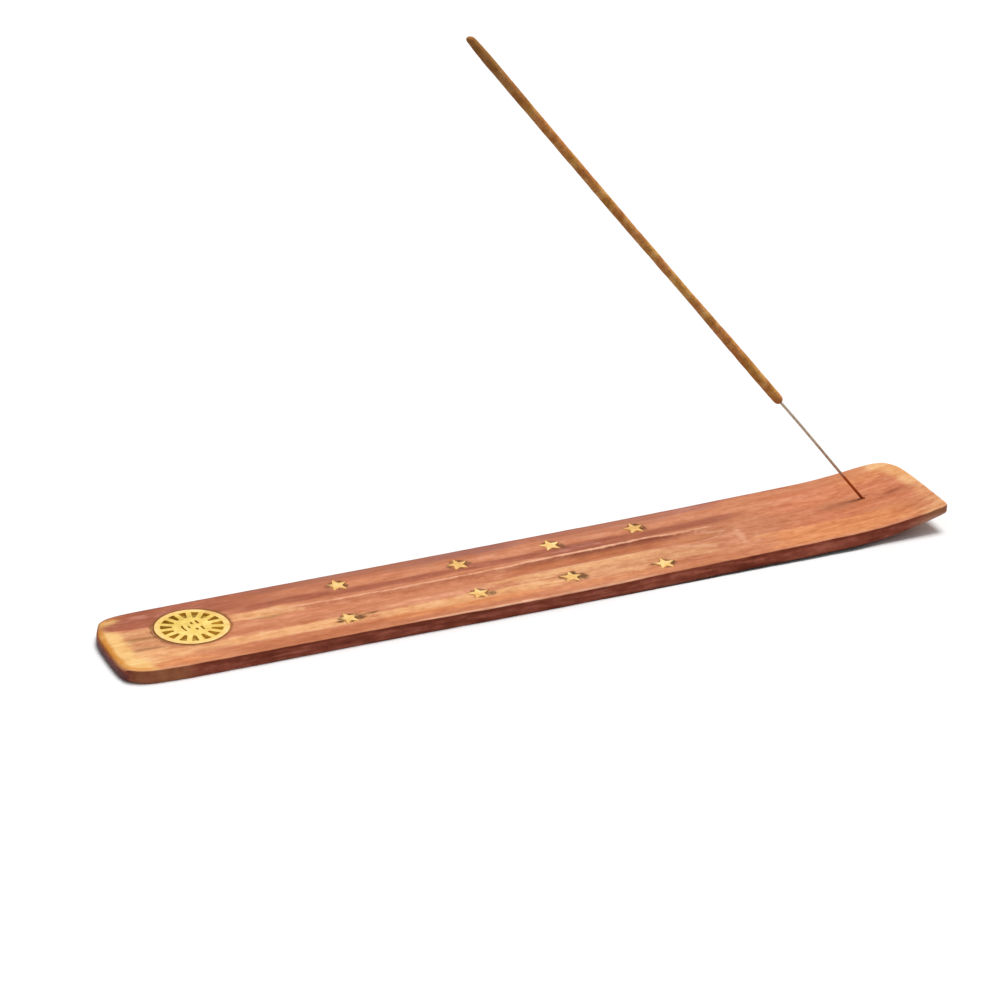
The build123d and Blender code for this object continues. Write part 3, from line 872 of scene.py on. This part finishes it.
def srgb(red, green, blue):
    """Colour from 0 to 255 as the eye sees it, to the linear value that a shader takes."""
    out = []
    for c in (red, green, blue):
        c /= 255
        out.append(c / 12.92 if c <= 0.04045 else ((c + 0.055) / 1.055) ** 2.4)
    return (*out, 1.0)


class Shade:
    """The nodes of a material or world, with short calls for the usual ones, and the colour made so far."""

    def __init__(self, owner, end="BSDF_PRINCIPLED"):
        owner.use_nodes = True
        self.owner = owner
        self.tree = owner.node_tree
        self.end = next(n for n in self.tree.nodes if n.type == end)
        self.coords = self.node("TexCoord").outputs
        self.place = self.coords["Object"]
        self.colour = None

    def node(self, kind, inputs=(), **settings):
        made = self.tree.nodes.new("ShaderNode" + kind)
        for key, value in settings.items():
            setattr(made, key, value)
        for key, value in dict(inputs).items():
            self.feed(made.inputs[key], value)
        return made

    def feed(self, socket, value):
        """A link from another node, or a fixed value on the socket itself."""
        if isinstance(value, bpy.types.NodeSocket):
            self.tree.links.new(value, socket)
        else:
            socket.default_value = value

    def finish(self, **values):
        """Sets these values of the last node, and gives the material or world."""
        for key, value in values.items():
            self.feed(self.end.inputs[key.replace("_", " ")], value)
        return self.owner

    def math(self, kind, a, b=0.0, clamp=False):
        return self.node("Math", {0: a, 1: b}, operation=kind, use_clamp=clamp).outputs[0]

    def chain(self, kind, values):
        """Several values joined by one operation, from the first to the last."""
        total = values[0]
        for value in values[1:]:
            total = self.math(kind, total, value)
        return total

    def times(self, *values):
        return self.chain("MULTIPLY", values)

    def plus(self, *values):
        return self.chain("ADD", values)

    def most(self, *values):
        return self.chain("MAXIMUM", values)

    def blend(self, *pairs):
        """Sum of values times their weights."""
        return self.plus(*[self.times(value, weight) for value, weight in pairs])

    def swing(self, value, reach):
        """A noise's swing to both sides of its middle, times reach."""
        return self.times(self.math("SUBTRACT", value, 0.5), reach)

    def vector(self, kind, a, b):
        return self.node("VectorMath", {0: a, 1: b}, operation=kind).outputs[0]

    def parts(self, vector):
        return self.node("SeparateXYZ", {0: vector}).outputs

    def attr(self, name):
        return self.node("Attribute", attribute_name=name).outputs["Fac"]

    def past(self, start):
        """How far a place on the board lies past a start, in millimetres: towards +X and towards +Y."""
        spot = self.parts(self.vector("MULTIPLY", self.place, (1 / MM, 1 / MM, 1 / MM)))
        return [self.math("SUBTRACT", part, at) for part, at in zip(spot, start)]

    def away(self, right, far):
        """Straight distance to a place that lies this far to two sides."""
        return self.math("SQRT", self.blend((right, right), (far, far)))

    def to_line(self, start, end):
        """Distance from a line between two places on the board, seen from above."""
        run = np.subtract(end, start)
        off = self.past(start)
        share = self.math("ADD", self.blend(*zip(off, run / (run @ run))), 0.0, True)
        return self.away(*[self.math("SUBTRACT", o, self.times(share, r)) for o, r in zip(off, run)])

    def seen(self):
        """1 where the eye or a mirror looks, and 0 for other light."""
        path = self.node("LightPath").outputs
        return self.most(path["Is Camera Ray"], path["Is Glossy Ray"])

    def noise(self, scale, detail=2.0, rough=0.5, shift=0.0, on=None):
        """Noise in 0 to 1, with so many cycles per metre, on the object or on another vector."""
        cycles = scale if isinstance(scale, tuple) else (scale, scale, scale)
        place = self.vector("MULTIPLY", on or self.place, cycles)
        if shift:
            place = self.vector("ADD", place, (shift, shift * 1.7, -shift))
        inputs = {"Vector": place, "Scale": 1.0, "Detail": detail, "Roughness": rough}
        return self.node("TexNoise", inputs, noise_dimensions="3D").outputs[0]

    def span(self, value, low, high, to_low=0.0, to_high=1.0):
        """Value mapped smoothly from one span to another, and held at its ends."""
        inputs = {"Value": value, "From Min": low, "From Max": high, "To Min": to_low, "To Max": to_high}
        return self.node("MapRange", inputs, interpolation_type="SMOOTHSTEP").outputs[0]

    def stretch(self, value, start, full, fade, end):
        """1 from full to fade, falling off smoothly to 0 at start and at end."""
        return self.times(self.span(value, start, full), self.span(value, end, fade))

    def ridge(self, value, low, high, soft):
        """1 between low and high, falling off softly on both sides."""
        return self.stretch(value, low - soft, low + soft, high - soft, high + soft)

    def mix(self, share, a, b, kind="MIX"):
        return self.node("Mix", {0: share, 6: a, 7: b}, data_type="RGBA", blend_type=kind).outputs[2]

    def lay(self, tone, *shares):
        """Lays a tone or a node's colour over the colour so far, as strongly as the shares' product."""
        over = tone if isinstance(tone, bpy.types.NodeSocket) else srgb(*tone)
        self.colour = self.mix(self.times(*shares), self.colour, over)

    def darken(self, share):
        """Multiplies the colour so far by a share."""
        self.colour = self.mix(1.0, self.colour, share, "MULTIPLY")

    def tones(self, value, reach, tones):
        """Tones in even steps, from the first at 0.5 - reach to the last at 0.5 + reach."""
        made = self.node("ValToRGB", {0: value})
        stops = made.color_ramp.elements
        while len(stops) < len(tones):
            stops.new(0.5)
        for stop, at, tone in zip(stops, np.linspace(0.5 - reach, 0.5 + reach, len(tones)), tones):
            stop.position = at
            stop.color = srgb(*tone)
        return made.outputs[0]

    def coat(self, rough, shine, height, strength, depth):
        """The material with its colour, roughness, shine and fine relief."""
        inputs = {"Height": height, "Strength": strength, "Distance": depth * MM}
        relief = self.node("Bump", inputs).outputs[0]
        return self.finish(Base_Color=self.colour, Roughness=rough, Specular_IOR_Level=shine, Normal=relief)


def paint(name):
    return Shade(bpy.data.materials.new(name))


def wood_material():
    """Stained wood, from its grain out to its wear and dirt."""
    s = paint("stained_wood_worn")
    x, y = s.past((0, 0))
    up, below = s.attr("up"), s.attr("below")
    sway = s.node("CombineXYZ", {1: s.swing(s.noise((18, 60, 60)), 7 * MM)})
    flow = s.vector("ADD", s.place, sway.outputs[0])
    figure = s.noise((34, 230, 230), 3.0, 0.55, on=flow)
    streak = s.noise((85, 800, 800), 3.0, 0.6, 3.1, on=flow)
    mottle = s.noise((230, 420, 420), 3.0, 0.55, 5.0)
    fleck = s.noise((520, 950, 950), 2.0, 0.6, 9.0)
    fibre = s.noise((260, 4200, 4200), 2.0, 0.6, 7.7, on=flow)
    pore = s.span(s.noise((330, 5200, 5200), 1.0, 0.5, 11.0, on=flow), 0.66, 0.76)
    uneven = s.noise((120, 300, 300), 2.0, 0.5, 2.0)
    grain = s.blend((figure, 0.32), (streak, 0.22), (mottle, 0.28), (fleck, 0.18))
    ragged = s.swing(grain, 2.0)

    # Sides take the stain darker, darkest just under the edge; the sanded corner is paler, and the side near
    # the tip is paler, worn and partly painted light; painted shade darkens the sun end's face low down, the
    # lower side where the board is raised, and the rounding under it
    side_grain = s.blend((s.noise((60, 500, 700), 3.0, 0.6, 4.0, on=flow), 0.6), (mottle, 0.4))
    blotch = s.span(s.noise((330, 200, 120), 2.0, 0.5, 15.0), 0.3, 0.6, 0.45, 1.0)
    s.colour = s.tones(side_grain, 0.13, SIDE_TONE)
    s.lay(SIDE_TOP, s.span(below, 1.5, 0.4, 0.0, 0.5))
    s.lay(SIDE_CORNER, s.stretch(x, -127.2, -124.5, -114, -106), blotch, 0.85)
    # painted shade: the sun end's face darker low down
    s.lay(SUN_END_FACE_SHADE, s.span(x, -126.2, -127.8), s.span(below, 1.2, 2.2), 0.8)
    # the side paler near the tip, partly painted light
    s.lay(SIDE_TIP, s.span(x, 114, 126), s.span(mottle, 0.3, 0.6, 0.6, 1.0), 0.75)
    # the tip's lower side paler: worn, and painted light thrown up from the floor
    tip_worn_and_lit = s.times(s.span(x, 112, 124), s.span(below, 1.3, 2.4), s.span(mottle, 0.3, 0.6, 0.5, 1.0))
    s.lay(SIDE_TIP_WORN_AND_LIT, tip_worn_and_lit, 0.8)
    # painted shade: the lower side darkened where the board is raised off the floor
    s.lay(LOW_SIDE_PAINTED_SHADE, s.stretch(x, 10, 40, 66, 80), s.span(below, 2.6, 3.8), 0.5)
    # painted shadow: near black on the downward rounding under the raised part
    s.lay(UNDER_EDGE_PAINTED_SHADOW, s.stretch(x, -30, 20, 100, 106), s.span(up, -0.1, -0.4), 0.95)
    side = s.colour

    # Top: the plain tone with the other tones of the stain rubbed in along the grain
    s.colour = s.tones(grain, 0.12, PLAIN_TONE)
    for name, tones in WOOD_TONES.items():
        strength = s.attr(name)
        share = s.span(s.plus(strength, ragged), 0.0, 1.0)
        s.lay(s.tones(grain, 0.12, tones), share, s.span(strength, 0.0, 0.4))

    # Groove: dirt with painted shade under the far lip, a pale worn line with a painted highlight along the
    # far lip, a pale line at the near lip, and scuffs at its end
    # painted shade, with dirt: the groove's far wall darkened under its lip
    s.lay(LIP_DIRT_AND_SHADE, s.attr("deep"), s.span(grain, 0.4, 0.6, 0.95, 0.6))
    wander = s.plus(s.attr("lip"), s.swing(uneven, 0.9), s.swing(fleck, 0.8))
    wide = s.stretch(x, -8, 8, 40, 52)
    line = s.most(s.ridge(wander, 0.0, 0.55, 0.25), s.times(wide, s.ridge(wander, 0.0, 0.95, 0.25)))
    broken = s.times(s.span(mottle, 0.34, 0.54, 0.45, 1.0), s.span(wide, 0.0, 1.0, 0.9, 1.0))
    # a pale line along the far lip: worn, with a painted highlight
    s.lay(FAR_LIP_PALE_AND_HIGHLIGHT, line, s.stretch(x, -84, -70, 58, 66), broken)
    s.lay(NEAR_LIP_PALE, s.ridge(wander, -7.5, -6.7, 0.4), s.stretch(x, -4, 8, 32, 44), 0.8)
    patchy = s.span(fleck, 0.35, 0.6, 0.5, 1.0)
    for start, end, half, strength in SCUFFS:
        gap = s.plus(s.to_line(start, end), s.swing(mottle, 1.2))
        s.lay(SCUFF_PALE, s.span(gap, 2.2 * half, 0.3 * half), patchy, strength)

    # The ends are sanded back to yellow wood along their edges, and painted shade darkens the sun end's
    # rounded edge where it turns down
    band = s.span(s.plus(s.attr("sun_band"), s.times(ragged, 0.35)), 0.15, 0.85)
    s.lay(s.tones(grain, 0.14, SUN_END_TONE), band, 0.92)
    # painted shade: ochre on the rounded outer edge of the sun end
    outer = s.times(s.attr("sun_round_shade"), s.span(y, 13, 8, 0.4, 1.0), s.span(uneven, 0.3, 0.6, 0.7, 1.0))
    s.lay(SUN_ROUND_OCHRE_SHADE, outer, 0.95)
    # painted shade: brown where the rounding of the sun end turns down
    s.lay(SUN_ROUND_BROWN_SHADE, s.span(x, -122.5, -125.5), s.span(up, 0.90, 0.60), 0.9)
    band = s.span(s.plus(s.attr("tip_band"), s.times(ragged, 0.6)), 0.1, 0.9)
    s.lay(s.tones(grain, 0.12, TIP_TONE), band, 0.85)

    # Long edges rubbed pale on the near side, and dulled on the far side
    worn = s.plus(s.attr("rim"), s.swing(mottle, 0.9))
    rubbed = s.span(s.noise(70, 1.0, 0.5, 13.0), 0.36, 0.60, 0.55, 1.0)
    pale_run = s.most(s.plus(s.ridge(x, -42, 30, 8), s.times(s.span(x, -106, -114), 0.3)), 0.04)
    edge = s.times(s.span(worn, 1.05, 0.4), s.span(uneven, 0.34, 0.58, 0.55, 1.0), s.span(y, 0, -12))
    s.lay(EDGE_PALE, edge, rubbed, pale_run)
    s.lay(EDGE_DULL, s.span(worn, 1.1, 0.3), s.span(y, 12, 17), s.span(x, 105, 75), 0.55)

    # Dark smear and soot at the stick's hole, with painted shadow of the stick on the side it leans to;
    # filler rubbed into the wood round the inlays
    hole_smear_and_shadow = s.times(s.attr("hole_smear_and_shadow"), s.span(grain, 0.4, 0.6, 1.0, 0.65))
    # painted shadow of the stick, with soot and smear beside its hole
    s.lay(HOLE_SMEAR_AND_SHADOW, hole_smear_and_shadow)
    s.lay(HOLE_SOOT_AND_SHADOW, s.span(hole_smear_and_shadow, 0.7, 1.15))
    notch = s.attr("notch")
    smudge = s.noise((900, 1300, 1300), 3.0, 0.65, 6.0)
    dirt = s.span(s.plus(notch, s.swing(smudge, 1.5)), 0.1, 1.0)
    s.lay(FILLER_SMEAR, dirt, s.span(notch, 0.05, 0.5), 0.92)
    sun_gap, sun_side = s.attr("sun_gap"), s.attr("sun_side")
    reach = s.most(s.span(sun_side, 0.2, -0.9, 0.45, 1.35), s.span(sun_side, 0.6, 1.0, 0.45, 1.1))
    stain = s.math("SUBTRACT", s.times(s.span(mottle, 0.3, 0.7, 0.5, 1.1), reach), sun_gap)
    s.lay(SUN_STAIN, s.span(stain, -0.4, 0.5), 0.75)

    # Two faint rings scribed beside the sun when its place was marked out
    right, far = s.past(SUN_AT)
    lower_left = s.span(s.blend((right, -0.88), (far, -0.47)), 8.5, 10.8)
    gap = s.plus(sun_gap, s.swing(uneven, 0.9))
    scribed = s.most(s.ridge(gap, 0.85, 1.05, 0.16), s.times(s.ridge(gap, 1.75, 1.95, 0.2), 0.7))
    s.lay(SCRIBED_LINE, scribed, lower_left, 0.6)

    s.lay(side, s.span(up, 0.62, 0.25))
    s.darken(s.span(fibre, 0.25, 0.75, 0.90, 1.02))
    s.lay(PORE_DARK, pore, 0.35)
    relief = s.math("SUBTRACT", s.blend((fibre, 0.5), (streak, 0.5)), pore)
    return s.coat(s.span(streak, 0.3, 0.7, 0.60, 0.48), 0.08, relief, 0.35, 0.08)


def brass_material():
    """Sanded brass of the sun's ring and face and of the stars, with filler left on it as a film."""
    s = paint("brass_sanded")
    scratch = s.noise((300, 9000, 9000), 2.0, 0.6)
    tarnish = s.noise(330, 4.0, 0.62, 3.0)
    cloud = s.noise((120, 150, 150), 2.0, 0.5, 6.0)
    shade = s.blend((tarnish, 0.6), (cloud, 0.4))
    radius = s.away(*s.past(SUN_AT))
    s.colour = s.tones(shade, 0.14, RING_TONE)
    s.lay(s.tones(shade, 0.14, FACE_TONE), s.span(radius, 9.8, 8.8))
    s.lay(s.tones(shade, 0.14, STAR_TONE), s.span(radius, 11.2, 12.0))
    left = s.attr("film")
    film = s.times(s.span(s.plus(left, s.swing(tarnish, 0.6)), 0.1, 0.9), s.span(left, 0.02, 0.3))
    s.lay(BRASS_FILM, film, 0.9)
    s.finish(Metallic=s.span(film, 0.0, 1.0, 0.75, 0.1))
    return s.coat(s.span(scratch, 0.3, 0.7, 0.34, 0.5), 0.5, s.plus(scratch, tarnish), 0.25, 0.05)


def sun_filler_material():
    """Olive filler in the sun's openings, lighter to the right and darker to the far side as painted light
    and shade, and a brown ring of it round the disc with painted shade on its near left side and painted
    light on its far right side.
    """
    s = paint("filler_in_sun")
    right, far = s.past(SUN_AT)
    grain = s.noise(1500, 4.0, 0.65)
    cloud = s.noise(260, 2.0, 0.5, 4.0)
    # painted light and shade: the openings lighter to the right and darker to the far side
    shade = s.blend((grain, 0.35), (cloud, 0.65), (right, 0.009), (far, -0.006))
    # painted shade on the ring's near left side and painted light on its far right side
    ring_painted_light = s.span(s.plus(s.blend((right, 0.7), (far, 0.7)), s.swing(cloud, 20.0)), -7, 6)
    s.colour = s.tones(shade, 0.14, SUN_FILLER_TONE)
    s.lay(s.mix(ring_painted_light, srgb(*SUN_RING_PAINTED_SHADE), srgb(*SUN_RING_PAINTED_LIGHT)), s.span(s.away(right, far), 10.0, 10.4))
    return s.coat(0.8, 0.1, grain, 0.5, 0.1)


def star_filler_material():
    """Dark filler in the notches of the stars, rubbed away to the wood's tone at their points."""
    s = paint("filler_round_stars")
    grain = s.noise(1500, 4.0, 0.65)
    patchy = s.noise(420, 2.0, 0.5, 2.0)
    right, far, _ = s.parts(s.vector("SUBTRACT", s.coords["Generated"], (0.5, 0.5, 0.5)))
    lean = s.blend((right, 0.5), (far, 0.25), (s.away(right, far), -1.6))
    s.colour = s.tones(grain, 0.2, FILLER_RUBBED_TONE)
    s.lay(s.tones(grain, 0.2, FILLER_TONE), s.span(s.plus(lean, s.swing(patchy, 0.9)), -0.62, -0.30))
    return s.coat(0.8, 0.1, grain, 0.5, 0.1)


def paste_material():
    """Rough paste of wood powder, golden and ruddy by turns, and greyer towards its tip, with painted shade
    on its underside and painted light on its upper side.
    """
    s = paint("paste_rough")
    grain = s.noise(2600, 4.0, 0.7)
    lump = s.noise(300, 3.0, 0.55, 2.0)
    hue = s.noise(150, 2.0, 0.5, 12.0)
    speck = s.span(s.noise(3600, 1.0, 0.5, 8.0), 0.62, 0.72)
    mixed = s.blend((grain, 0.45), (lump, 0.55))
    along = s.attr("along")
    s.colour = s.tones(mixed, 0.14, GOLDEN_TONE)
    s.lay(s.tones(mixed, 0.14, RUDDY_TONE), s.span(hue, 0.4, 0.6))
    s.lay(PASTE_TOP, s.span(along, paste_end - 45, paste_end - 4, 0.0, 0.6))
    s.lay(PASTE_LOW, s.span(along, paste_start + 3.5, paste_start, 0.0, 0.5))
    s.lay(PASTE_SPECK, speck, 0.5)
    # painted shade on the paste's underside and painted light on its upper side
    s.darken(s.span(s.attr("up"), -0.6, 0.6, 0.78, 1.10))
    return s.coat(0.9, 0.1, grain, 0.6, 0.15)


def bamboo_material():
    """Bare bamboo, browner towards its foot."""
    s = paint("bamboo_bare")
    fibre = s.noise((900, 3500, 900), 3.0, 0.6)
    along = s.attr("along")
    s.colour = s.tones(fibre, 0.2, BAMBOO_TONE)
    s.lay(BAMBOO_TAN, s.span(along, 40, 15, 0.0, 0.35))
    s.lay(BAMBOO_AMBER, s.span(along, 19, 13, 0.0, 0.97))
    s.lay(BAMBOO_FOOT, s.span(along, 10, 5, 0.0, 0.6))
    return s.coat(0.6, 0.2, fibre, 0.4, 0.08)


def floor_material():
    """Pale floor: white to the eye, with a soft shadow, and plain pale grey where it throws light back."""
    s = paint("studio_floor")
    shown = s.mix(s.seen(), FLOOR_GREY, WHITE)
    return s.finish(Base_Color=shown, Roughness=0.9, Specular_IOR_Level=0.0)


def white_room():
    """Soft light from above at a plain level; the eye and mirrors see a white room."""
    s = Shade(bpy.data.worlds.new("studio"), "BACKGROUND")
    _, _, height = s.parts(s.coords["Generated"])
    overhead = s.span(height, 0.0, WORLD_FULL_AT, 0.0, WORLD_LIGHT)
    return s.finish(Color=WHITE, Strength=s.span(s.seen(), 0.0, 1.0, overhead, 1.0))


def dress(obj, material):
    obj.data.materials.clear()
    obj.data.materials.append(material)


board = make_board()
dress(board, wood_material())
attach(board, "board")
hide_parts("ash_board")

paste = make_paste()
dress(paste, paste_material())
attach(paste, "stick")
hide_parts("incense_paste")

bamboo = make_bamboo()
dress(bamboo, bamboo_material())
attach(bamboo, "stick")
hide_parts("bamboo_core")

brass = brass_material()
star_bed = star_filler_material()
for name in STARS:
    star = make_star(name)
    dress(star, brass)
    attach(star, "board")
    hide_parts(name)
    dress(nodes[name + "_filler"], star_bed)

dress(nodes["sun_inlay"], brass)
worn_edge = nodes["sun_inlay"].modifiers.new("worn_edge", "BEVEL")
worn_edge.width = SUN_EDGE_WEAR * MM
worn_edge.segments = 2
worn_edge.limit_method = "ANGLE"
worn_edge.angle_limit = math.radians(50)
dress(nodes["sun_filler"], sun_filler_material())

half = FLOOR_HALF * MM
corners = [(-half, -half, 0), (half, -half, 0), (half, half, 0), (-half, half, 0)]
floor_mesh = bpy.data.meshes.new("studio_floor")
floor_mesh.from_pydata(corners, [], [(0, 1, 2, 3)])
floor = add_object("studio_floor", floor_mesh)
floor.location.z = -FLOOR_DROP * MM
dress(floor, floor_material())

scene.view_settings.view_transform = "Standard"
scene.world = white_room()

lamp_data = bpy.data.lights.new("softbox", "SUN")
lamp_data.energy = LAMP_ENERGY
lamp_data.angle = math.radians(LAMP_SPREAD)
lamp = add_object("softbox", lamp_data)
lamp.rotation_euler = Vector(LAMP_FROM).to_track_quat("Z", "Y").to_euler()

camera_data = bpy.data.cameras.new("camera")
camera_data.sensor_width = SENSOR
camera_data.lens = SENSOR * FOCAL_PIXELS / PHOTO_PIXELS
camera = add_object("camera", camera_data)
camera.location = Vector(EYE) * MM
camera.rotation_euler = Vector(LOOK).to_track_quat("-Z", "Y").to_euler()
scene.camera = camera
